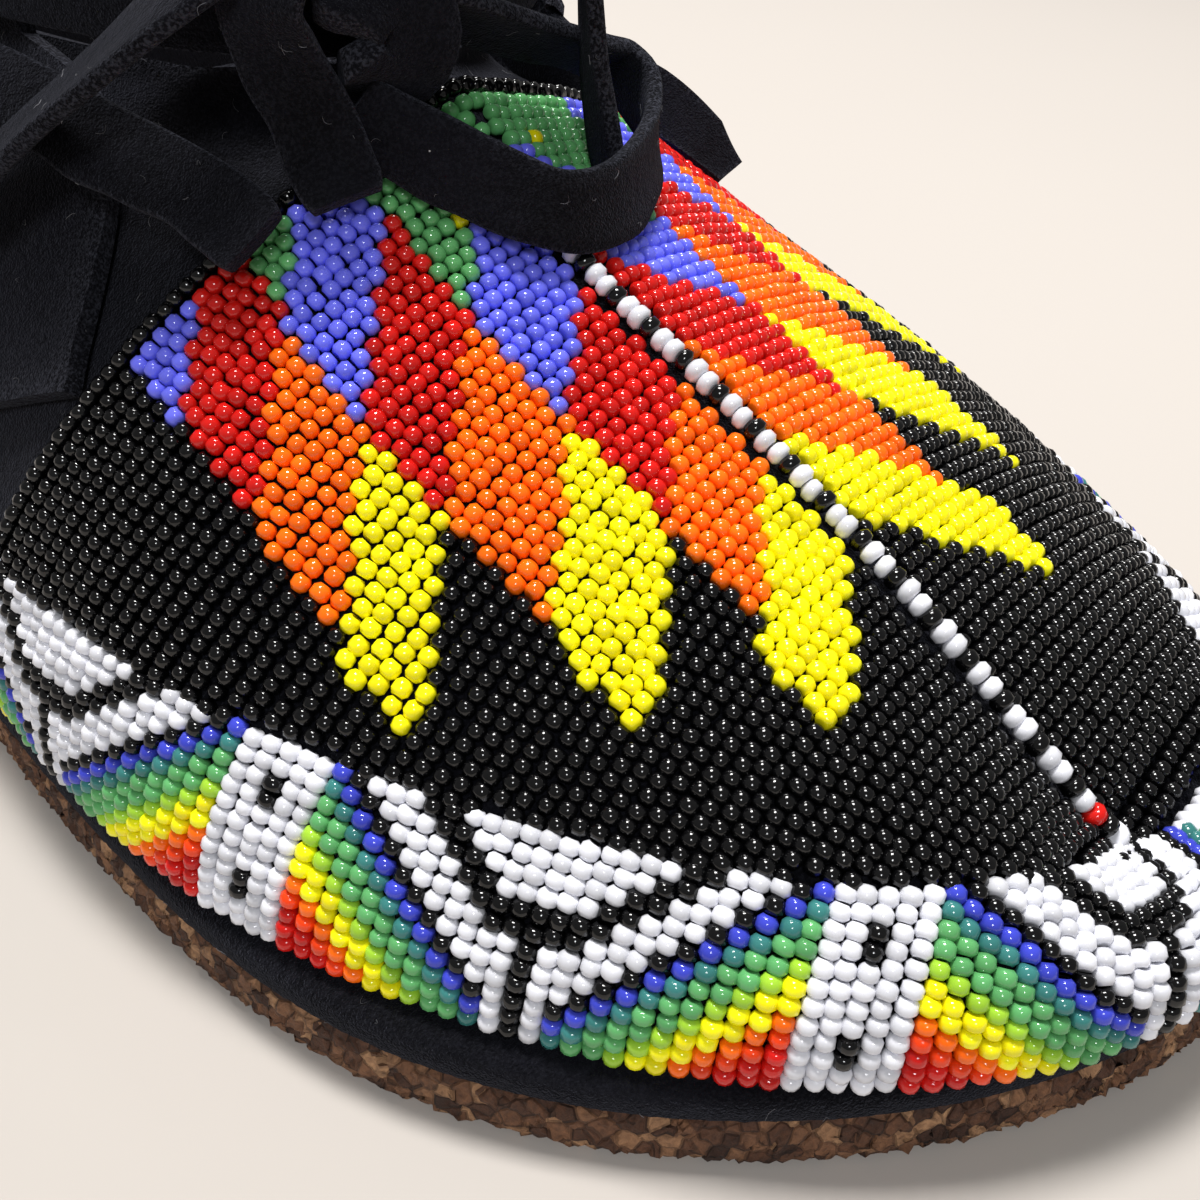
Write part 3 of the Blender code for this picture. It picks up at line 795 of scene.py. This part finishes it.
ridge_at = np.linspace(THROAT, TOE_TIP, 400)
ridge_line = layer(ridge_at, 1, 0)
ridge_run = lengths_along(ridge_line)
lane_count = int(ridge_run[-1] / LANE_APART)
lane_run = (np.arange(lane_count) + FIRST_LANE) * LANE_APART
lane_tops = np.interp(lane_run, ridge_run, ridge_line[:, 1])
lane_tops = np.append(lane_tops, lane_tops[-1] + LANE_APART * np.arange(1, TOE_LANES + 1))
lane_count += TOE_LANES
vamp_beads, vamp_colours = [], []
for side in (1, -1):
    lane_at, lane_up = lanes(lane_tops, side)
    clear = np.where(lane_tops < STRING_START, REAR_CLEAR, RIDGE_CLEAR[side])
    lane_starts = clear + (np.arange(lane_count) % 2) * VAMP_LONGS[0] / 2
    beads = strung(lane_at, lane_up, lane_starts, VAMP_LONGS, 0, chart=stripe_colour)
    vamp_colours += beads[4]
    vamp_beads.append(beads[:3])
vamp_beads = [np.concatenate(columns) for columns in zip(*vamp_beads)]
is_black = np.array(vamp_colours) == "black"
for chosen, wide, long in ((~is_black, *COLOURED_BEAD), (is_black, *BLACK_BEAD)):
    group = [column[chosen] for column in vamp_beads]
    names = np.array(vamp_colours)[chosen].tolist()
    add_bead_colours("vamp", group, names, wide, long, "vamp_beads", "beaded_vamp")

# ---- Edge beads and centre string ---------------------------------------------------------------
# The vamp's rear edge is whipped with single black beads. Along the ridge lies one raised string of
# larger beads, two white and one black, which ends in a red one over the toes.

EDGE_TOP, EDGE_APART = 25.2, 1.60  # y where the whipped edge leaves the ridge, and its beads' spacing
EDGE_OUT, EDGE_TILT = 0.2, 0.9  # how far out they lie, and how much their holes tilt outward
STRING_WIDE, STRING_LONG = 2.45, 1.60
STRING_ASIDE, STRING_OUT = 1.7, 1.1  # the string lies this far to the outer side, and this far out
STRING_END = 0.35  # stations before the toe tip

for name, side in (("outer", 1), ("inner", -1)):
    edge_at, edge_up = lanes(np.array([EDGE_TOP]), side)
    places, along, squares, *_ = strung(edge_at, edge_up, np.zeros(1), EDGE_APART, EDGE_OUT)
    across = unit(np.cross(along, squares) + EDGE_TILT * squares)
    edge_beads = add_beads(f"edge_beads_{name}", places, across, squares, "black", BEAD_WIDE, BEAD_LONG)
string_first = np.interp(STRING_START, ridge_line[:, 1], ridge_at)
string_at = np.linspace(string_first, TOE_TIP - STRING_END, 300)
string_up = height_share(string_at, STRING_ASIDE, from_top=True)
string_beads = strung(string_at[None], string_up[None], np.zeros(1), STRING_LONG, STRING_OUT)
string_count = len(string_beads[0])
string_colours = ["black" if bead % 3 == 2 else "white" for bead in range(string_count)]
string_colours[-3] = "red"
string = (string_beads, string_colours, STRING_WIDE, STRING_LONG, "vamp_beads")
add_bead_colours("centre_string", *string, order=("white", "black", "red"))

# ---- Ankle cuff ---------------------------------------------------------------------------------
# A separate strip of the same suede, sewn inside the collar and turned out, so that it stands up
# round the ankle and hangs over the sides, lowest in front. The thong ties it close.

CUFF_STATIONS = 3.5  # how many stations the cuff reaches to each side of the heel, at the collar
CUFF_LEAN = 0.46  # how much further forward, as a share, its front corners hang
# How low it hangs: stations from the heel at the collar, and the share of the side there.
CUFF_LOW = [(0, 0.86), (1.2, 0.78), (2.1, 0.50), (2.7, 0.33), (3.1, 0.34), (3.5, 0.46)]
CUFF_WALL, CUFF_GAP, CUFF_HEIGHT, CUFF_FLARE = 2.0, 0.8, 30, 5
CUFF_SMOOTHED = 12  # how many times the low edge's corners are smoothed
# Waves of the standing cuff: radians in every CUFF_PACE stations, where they start, and how far they
# swing out.
CUFF_PACE = 1.4
CUFF_WAVES = [(3, 0.4, 0.8), (5, 1.9, 0.7), (9, 0.7, 0.35), (14, 2.6, 0.2)]

cuff_at = np.linspace(-CUFF_STATIONS, CUFF_STATIONS, 113)
cuff_low = np.interp(np.abs(cuff_at), *zip(*CUFF_LOW))
for _ in range(CUFF_SMOOTHED):
    cuff_low[1:-1] = (cuff_low[:-2] + 2 * cuff_low[1:-1] + cuff_low[2:]) / 4
share = np.linspace(0, 1, 16)
cuff_up = cuff_low[:, None] * (1 - share) + share
cuff_grid = cuff_at[:, None] * (1 + CUFF_LEAN * (1 - share))
swing = sum(far * np.sin(many * cuff_at / CUFF_PACE + start) for many, start, far in CUFF_WAVES)
cuff_faces = []
for out in (SUEDE_OUT + CUFF_GAP + CUFF_WALL, SUEDE_OUT + CUFF_GAP):
    lower = layer(cuff_grid, cuff_up, out)
    level = unit(face_direction(cuff_at[:, None], 1) * (1, 1, 0))
    height = np.linspace(0, 1, 19)[1:, None]
    standing = lower[:, -1:] + height * (0, 0, CUFF_HEIGHT) + height**2 * CUFF_FLARE * level
    standing = standing + (swing[:, None, None] * height) * level
    cuff_faces.append(np.concatenate([lower, standing], axis=1))
cuff = add_wall("ankle_cuff_suede", *cuff_faces)
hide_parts("ankle_cuff")

# ---- Tongue -------------------------------------------------------------------------------------
# A crowned leaf of suede, sewn under the vamp, that comes up through the throat and leans back.

# Down its middle: y, z, half width, and how far its sides drop behind its middle.
TONGUE = [
    (44, 49.5, 9, 4.0),
    (36, 53.5, 10, 4.5),
    (28, 57, 11, 5),
    (20, 60.5, 11, 5),
    (13, 66, 12, 4),
    (9, 74, 14, 3.5),
    (7, 84, 16, 3),
    (6, 92, 14, 2.5),
    (6, 95, 9, 1.0),
]
TONGUE_WALL = 1.8

fine = np.linspace(0, len(TONGUE) - 1, 49)
tongue_y, tongue_z, tongue_half, crown = (
    np.interp(fine, range(len(TONGUE)), column) for column in zip(*TONGUE)
)
tongue_run = unit(np.column_stack([np.gradient(tongue_y), np.gradient(tongue_z)]))
front = np.column_stack([tongue_run[:, 1], -tongue_run[:, 0]])
across = np.linspace(-1, 1, 25)
tongue_faces = []
for out in (TONGUE_WALL / 2, -TONGUE_WALL / 2):
    forward = out - crown[:, None] * across**2
    lengthwise = tongue_y[:, None] + front[:, :1] * forward
    upright = tongue_z[:, None] + front[:, 1:] * forward
    tongue_faces.append(np.stack([tongue_half[:, None] * across, lengthwise, upright], -1))
tongue = add_wall("tongue_suede", *tongue_faces)
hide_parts("tongue")

# ---- Inner flap ---------------------------------------------------------------------------------
# The free front corner of the collar's suede on the inner side. It stands on its lower edge on the
# vamp and leans out, widest by the collar and narrowing to its tip over the ball of the foot.

# From root to tip: station, the share of the side and the height off it of its lower edge, and the
# same of its upper edge.
FLAP = [
    (16.3, 0.56, 2.8, 0.92, 11),
    (15.8, 0.56, 2.6, 0.8, 10),
    (15.4, 0.6, 2.5, 0.69, 9.5),
    (15, 0.61, 2, 0.64, 9),
    (14.7, 0.6, 1.6, 0.61, 8.5),
    (14.4, 0.6, 1.5, 0.58, 7.5),
    (14.25, 0.575, 1.5, 0.55, 5.5),
]
FLAP_CURL = 1.2  # above 1, it leans out more toward its upper edge
FLAP_WAVE, FLAP_PACE = 0.5, 1.9

flap_fine = np.linspace(0, len(FLAP) - 1, 61)
flap_columns = [np.interp(flap_fine, range(len(FLAP)), column)[:, None] for column in zip(*FLAP)]
flap_at, low_up, low_out, high_up, high_out = flap_columns
flap_share = np.linspace(0, 1, 15)
flap_grid = flap_at * np.ones(15)
flap_up = low_up + (high_up - low_up) * flap_share
flap_wave = FLAP_WAVE * np.sin(flap_fine * FLAP_PACE)[:, None] * flap_share
flap_out = low_out + (high_out - low_out) * flap_share**FLAP_CURL + flap_wave
flap_face = layer(flap_grid, flap_up, flap_out)
flap_square = unit(np.cross(np.gradient(flap_face, axis=0), np.gradient(flap_face, axis=1)))
flap_square *= np.sign(flap_square[..., :1])
flap = add_wall("inner_flap_suede", flap_face, flap_face - CUFF_WALL * flap_square)
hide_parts("inner_flap")

# ---- Thong --------------------------------------------------------------------------------------
# A flat suede thong, 8 by 1.7 mm, runs round the cuff and is tied in a bow at the throat: a knot, two
# loops that rest on the vamp, and ends that hang down over the outer side. Nothing else holds it.

THONG = (8.0, 1.7)  # width and thickness
# Half of a thong's section: shares of half its width and thickness, from its middle round an edge.
THONG_SECTION = [(0, 1), (0.50, 1), (0.91, 1), (0.98, 0.75), (1.0, 0.3)]
THONG_STEP = 1.0
CUT_END = 2.2  # how far in from a cut end its corners are rounded
# The strips are cut by hand: waves of one edge, and the curl over their width. Each wave has a depth
# and a pace along the strip.
EDGE_WAVES, CURL = [(0.25, 0.31), (0.12, 0.83)], (0.45, 0.09)
SHEEN_FROM, SHEEN_OVER = 0.90, 0.08  # shares of the half width where the painted edge sheen starts, and over which it grows


def tube_faces(rows, around, ring=False):
    """Quads round rows of around points each. Its ends are closed, or joined to each other in a ring."""
    faces = []
    for row in range(rows if ring else rows - 1):
        here, after = row * around, (row + 1) % rows * around
        for side in range(around):
            other = (side + 1) % around
            faces.append([here + side, here + other, after + other, after + side])
    if not ring:
        faces.append(list(range(around))[::-1])
        faces.append([(rows - 1) * around + side for side in range(around)])
    return faces


def curve_through(table):
    """Dense rows along a smooth open curve through the table's rows, about a step apart."""
    rows = np.array(table, float)
    ends = np.vstack([2 * rows[0] - rows[1], rows, 2 * rows[-1] - rows[-2]])
    dense = []
    for a, b, c, d in zip(ends, ends[1:], ends[2:], ends[3:]):
        steps = max(2, round(np.linalg.norm((c - b)[:3]) / THONG_STEP))
        t = np.arange(0, 1, 1 / steps)[:, None]
        bend = (2 * a - 5 * b + 4 * c - d) * t**2 + (3 * b - a - 3 * c + d) * t**3
        dense.append((2 * b + (c - a) * t + bend) / 2)
    return np.vstack([*dense, rows[-1:]])


def add_thong(name, rows, size=THONG, ring=False, tip=1):
    """A flat thong along dense rows: x, y, z, and the way that its face points there. size is its
    width and thickness, and tip is its width's share at its cut ends."""
    width, thickness = size
    middle, faces_to = rows[:, :3], rows[:, 3:]
    run = np.gradient(middle, axis=0)
    if ring:
        run = np.roll(middle, -1, 0) - np.roll(middle, 1, 0)
    run = unit(run)
    across = unit(np.cross(run, faces_to))
    square = np.cross(across, run)
    half = np.array(THONG_SECTION)
    section = np.vstack([half, half[::-1] * (1, -1), half[1:] * (-1, -1), half[:0:-1] * (-1, 1)])
    sideways, through = section[None, :, :1], section[None, :, 1:]
    count = len(rows)
    row_number = np.arange(count)
    narrow = 1 - (1 - tip) * np.clip(1 - from_ends(count) * THONG_STEP / CUT_END, 0, 1) ** 2
    wide = (width / 2 * narrow)[:, None, None] * sideways
    thick = thickness / 2 * through * np.ones((count, 1, 1))
    if not ring:
        (deep, pace), (less_deep, faster) = EDGE_WAVES
        wander = deep * np.sin(row_number * pace + count) + less_deep * np.sin(row_number * faster)
        curl = CURL[0] * np.sin(row_number * CURL[1] + count)
        wide = wide + wander[:, None, None] * (sideways > 0.3)
        thick = thick + curl[:, None, None] * sideways**2
    points = middle[:, None] + wide * across[:, None] + thick * square[:, None]
    faces = tube_faces(count, len(section), ring)
    piece = add_piece(name, points.reshape(-1, 3), faces, black_suede, sharp=55)
    # The thong's edges get the painted sheen, a lighter colour at the very edge.
    edges = np.clip((np.abs(section[:, 0]) - SHEEN_FROM) / SHEEN_OVER, 0, 1) * np.ones((count, 1))
    mark_rubbed(piece, edges.reshape(-1))
    return piece


# The line round the cuff: x, y and z of its middle, from the heel along the outer side.
WRAP = [
    (6, -145, 84),
    (30, -126.5, 83),
    (37.5, -84, 81),
    (34.5, -32, 79),
    (28.5, 2, 78),
    (18.5, 18.5, 77),
    (0, 24, 76),
    (-17.5, 18.5, 77),
    (-25.5, 2, 78),
    (-28.5, -32, 79),
    (-27.5, -84, 81),
    (-18, -126.5, 83),
]
wrap_at = np.arange(0, len(WRAP), 1 / 16)
wrap_line = np.column_stack([spline(column, wrap_at) for column in zip(*WRAP)])
wrap_run = np.roll(wrap_line, -1, 0) - np.roll(wrap_line, 1, 0)
wrap_out = np.column_stack([wrap_run[:, 1], -wrap_run[:, 0], 0 * wrap_run[:, 0]])
wrap = add_thong("thong_wrap_strip", np.hstack([wrap_line, wrap_out]), ring=True)
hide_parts("thong_wrap")

# The knot's band, which holds the strips below it together: x, y, z, and the way that it faces.
KNOT = [
    (16, 24.5, 80, 0.3, 0.4, 0.9),
    (12.5, 27.5, 79.5, 0.4, 0.6, 0.7),
    (9.5, 29.6, 77, 0.4, 0.9, 0.2),
    (10.5, 28.6, 73, 0.4, 0.8, -0.4),
    (15, 25.8, 72.5, 0.3, 0.3, -0.9),
]
# The bow's low loop, which rests on the vamp on its edge and comes back to the knot.
LOW_LOOP = [
    (15, 27, 69, 0.7, 0.6, 0.3),
    (13.5, 28.5, 67.5, 0.7, 0.6, 0.3),
    (10.3, 33, 65, 0.75, 0.65, 0.25),
    (7, 38.5, 62.3, 0.65, 0.75, 0.2),
    (4, 43.2, 60.6, 0.35, 0.9, 0.2),
    (-2.5, 44.2, 60.2, -0.1, 0.95, 0.2),
    (-10.5, 41.5, 61.5, -0.5, 0.85, 0.15),
    (-15.5, 38, 63.3, -0.8, 0.6, 0.1),
    (-18, 34, 66, -0.95, 0, 0.2),
    (-17, 31, 68.7, -0.6, -0.35, 0.6),
    (-12.5, 30.5, 70.6, -0.4, -0.4, 0.8),
    (-7.8, 30.2, 72.2, -0.35, -0.45, 0.8),
    (-2.6, 30, 74.2, -0.35, -0.45, 0.8),
    (2, 29.6, 76.2, -0.3, -0.4, 0.85),
    (6, 28.8, 78.5, -0.2, -0.2, 0.95),
]
# The high loop stands up from the vamp, goes over into the knot, and hangs down as the front end.
HIGH_LOOP = [
    (-8, 38.5, 60.5, -0.85, 0.5, 0),
    (-8, 37.4, 66, -0.85, 0.5, 0),
    (-8, 36.6, 72, -0.8, 0.6, 0),
    (-7.8, 36.2, 80, -0.75, 0.65, 0.1),
    (-5.5, 35.5, 88, -0.7, 0.4, 0.6),
    (0, 33.5, 91, 0, 0.2, 1),
    (6, 30.5, 88.5, 0.4, 0.35, 0.85),
    (10.5, 29, 85.5, 0.35, 0.45, 0.85),
    (15, 27.8, 85, 0.35, 0.45, 0.85),
    (19, 26.3, 84, 0.6, 0.45, 0.7),
    (22, 25, 79.5, 0.8, 0.45, 0.45),
    (20.5, 24.4, 74, 0.75, 0.55, 0.35),
    (18.6, 25.8, 68.5, 0.65, 0.6, 0.45),
    (18.6, 28.4, 64.2, 0.55, 0.65, 0.55),
    (18.9, 30.2, 62.2, 0.5, 0.6, 0.6),
]
# The end that lies forward over the cuff's corner, and the one that hangs down behind.
SIDE_END = [
    (38.5, -23, 70.5, 0.8, 0.25, 0.55),
    (37.5, -13, 70.5, 0.8, 0.25, 0.55),
    (35, -3, 69.3, 0.75, 0.35, 0.55),
    (32.8, 3.5, 67.3, 0.75, 0.35, 0.55),
    (31, 9, 65.3, 0.7, 0.4, 0.6),
    (29, 15.3, 63.4, 0.65, 0.45, 0.6),
    (27.8, 22, 61.6, 0.6, 0.5, 0.6),
    (27.3, 27.2, 59.6, 0.6, 0.5, 0.6),
]
BACK_END = [
    (17, 22, 85, 0.2, 0.2, 0.97),
    (23, 21.5, 83, 0.2, 0.2, 0.97),
    (27.5, 19.5, 79.3, 0.22, 0.15, 0.96),
    (33, 12.8, 72.3, 0.25, 0.1, 0.96),
    (38, 3, 64, 0.35, 0.1, 0.93),
    (42, -4, 57.5, 0.6, 0.1, 0.8),
    (46, -11, 51.5, 0.8, 0.1, 0.6),
    (49, -18, 45, 0.9, 0.15, 0.4),
]

# The free strips: name, line, cut ends' width as a share, solids, what the far end is, how it lies.
FREE_STRIPS = [
    ("thong_low_loop", LOW_LOOP, 0.9, ["thong_loop_low"], "knot", "loose"),
    ("thong_high_loop", HIGH_LOOP, 0.86, ["thong_loop_high", "thong_end_front"], "bare", "loose"),
    ("thong_side_end", SIDE_END, 0.86, ["thong_end_side"], "bare", "hanging"),
    ("thong_back_end", BACK_END, 0.86, ["thong_end_back"], "bare", "hanging"),
]

knot = add_thong("thong_knot_band", curve_through(KNOT), (9.0, 3.0), tip=0.8)
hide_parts("thong_knot")
free_strips = []
for name, line, tip, nodes, far_end, lay in FREE_STRIPS:
    rows = curve_through(line)
    strip = add_thong(name, rows, tip=tip)
    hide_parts(*nodes)
    length = float(np.linalg.norm(np.diff(rows[:, :3], axis=0), axis=1).sum()) * MM
    free_strips.append(strip)

# ---- Lint ---------------------------------------------------------------------------------------
# Pale fluff and short ends of fibre that cling to the suede: on the sides, the cuff and the thongs.
# It is the suede's own, and lies flat on it.

LINT_WIDE, LINT_LONG = 0.045, (0.25, 1.5)
# Square millimetres: of suede to a fibre, and of the mesh's faces that carry them.
LINT_EVERY, LINT_FACES = 45, (0.3, 20)
# How high they lie off the suede and how much more their second halves do, how they bend, and how
# many rings of points they have.
LINT_OFF, LINT_LIFT, LINT_BEND, LINT_RINGS = 0.06, 0.12, 0.35, 5


def lint_finish():
    fluff = Finish("lint")
    tone = fluff.ramp(fluff.noise(500, 2), (0.3, (0.05, 0.05, 0.055)), (0.7, (0.22, 0.22, 0.24)))
    return fluff.wear(Base_Color=tone, Roughness=0.9, Specular_IOR_Level=0.1)


lint_points, lint_faces = [], []
fibre_faces = tube_faces(LINT_RINGS, 3)
smallest, largest = LINT_FACES
for suede_piece in (rand, upper, cuff, flap, wrap, *free_strips):
    faces = [face for face in suede_piece.data.polygons if smallest < face.area / MM**2 < largest]
    weights = np.array([face.area for face in faces])
    many = int(weights.sum() / MM**2 / LINT_EVERY)
    for pick in chance.choice(len(faces), many, p=weights / weights.sum()):
        normal = np.array(faces[pick].normal)
        place = np.array(faces[pick].center) / MM + (*CENTRE, 0) + LINT_OFF * normal
        way = np.cross(normal, chance.normal(size=3))
        way /= np.linalg.norm(way)
        aside = np.cross(normal, way)
        length, bend = chance.uniform(*LINT_LONG), chance.normal() * LINT_BEND
        first = len(lint_points)
        for share in np.linspace(-0.5, 0.5, LINT_RINGS):
            along = place + way * share * length + aside * bend * (4 * share**2)
            along = along + normal * LINT_LIFT * (share > 0)
            half = aside * LINT_WIDE / 2
            lint_points += [along - half, along + half, along + normal * LINT_WIDE]
        lint_faces += [[first + corner for corner in face] for face in fibre_faces]
add_piece("suede_lint", np.array(lint_points), lint_faces, lint_finish(), sharp=20)

# ---- Floor, light and camera --------------------------------------------------------------------
# A warm pale sheet on a table, under one small soft box high over the shoe's heel side. A weaker lamp
# stands far behind it, and the weakest in front.

FLOOR_HALF = 2500  # from its middle to its edges
FLOOR_COLOUR = (0.515, 0.478, 0.445)


def floor_finish():
    sheet = Finish("pale sheet")
    cloud = sheet.noise(3, 2)
    deep = tuple(0.97 * part for part in FLOOR_COLOUR)
    tone = sheet.ramp(cloud, (0.3, deep), (0.7, FLOOR_COLOUR))
    return sheet.wear(Base_Color=tone, Roughness=0.8, Specular_IOR_Level=0.1)


floor_mesh = bpy.data.meshes.new("floor")
reach = FLOOR_HALF * MM
corners = [(-reach, -reach, 0), (reach, -reach, 0), (reach, reach, 0), (-reach, reach, 0)]
floor_mesh.from_pydata(corners, [], [[0, 1, 2, 3]])
floor_mesh.materials.append(floor_finish())
add_object("floor", floor_mesh)

# name, place and target in millimetres, side lengths, watts, colour
LAMPS = [
    ("soft box", (-110, -95, 1080), (20, 20, 40), (340, 260), 15.0, (1.0, 0.985, 0.96)),
    ("back light", (-620, -560, 900), (-200, -200, 0), (300, 300), 4.6, (1.0, 0.985, 0.97)),
    ("fill", (520, 560, 720), (60, 60, 20), (200, 200), 3.6, (0.97, 0.985, 1.0)),
]
SKY = 0.23  # how bright the room is
for name, place, target, (wide, tall), watts, colour in LAMPS:
    lamp = bpy.data.lights.new(name, "AREA")
    lamp.shape = "RECTANGLE"
    lamp.size, lamp.size_y = wide * MM, tall * MM
    lamp.energy = watts
    lamp.color = colour
    stand = add_object(name, lamp)
    stand.location = [part * MM for part in place]
    stand.rotation_euler = (Vector(target) - Vector(place)).to_track_quat("-Z", "Y").to_euler()
sky = bpy.data.worlds.new("studio")
sky.use_nodes = True
sky_inputs = sky.node_tree.nodes["Background"].inputs
sky_inputs["Color"].default_value = (1.0, 0.985, 0.96, 1)
sky_inputs["Strength"].default_value = SKY
bpy.context.scene.world = sky
bpy.context.scene.view_settings.view_transform = "Standard"

CAMERA_AT = (90.93, 139.22, 104.72)
CLIP_START = 5
CAMERA_AZIMUTH, CAMERA_PITCH, CAMERA_ROLL = (float(np.radians(angle)) for angle in (230.3, 34.3, 2.0))
LENS, SENSOR, SHIFT = 38.43, 36, (-0.0283, -0.0567)

ahead = Vector((np.sin(CAMERA_AZIMUTH), np.cos(CAMERA_AZIMUTH), -np.tan(CAMERA_PITCH))).normalized()
right = ahead.cross(Vector((0, 0, 1))).normalized()
above = right.cross(ahead)
tilted = right * np.cos(CAMERA_ROLL) + above * np.sin(CAMERA_ROLL)
above = above * np.cos(CAMERA_ROLL) - right * np.sin(CAMERA_ROLL)
camera_data = bpy.data.cameras.new("camera")
camera_data.sensor_width = SENSOR
camera_data.lens = LENS
camera_data.shift_x, camera_data.shift_y = SHIFT
camera_data.clip_start = CLIP_START * MM
camera = add_object("camera", camera_data)
turned = Matrix((tilted, above, -ahead)).transposed().to_4x4()
camera.matrix_world = Matrix.Translation(Vector(CAMERA_AT) * MM) @ turned
bpy.context.scene.camera = camera
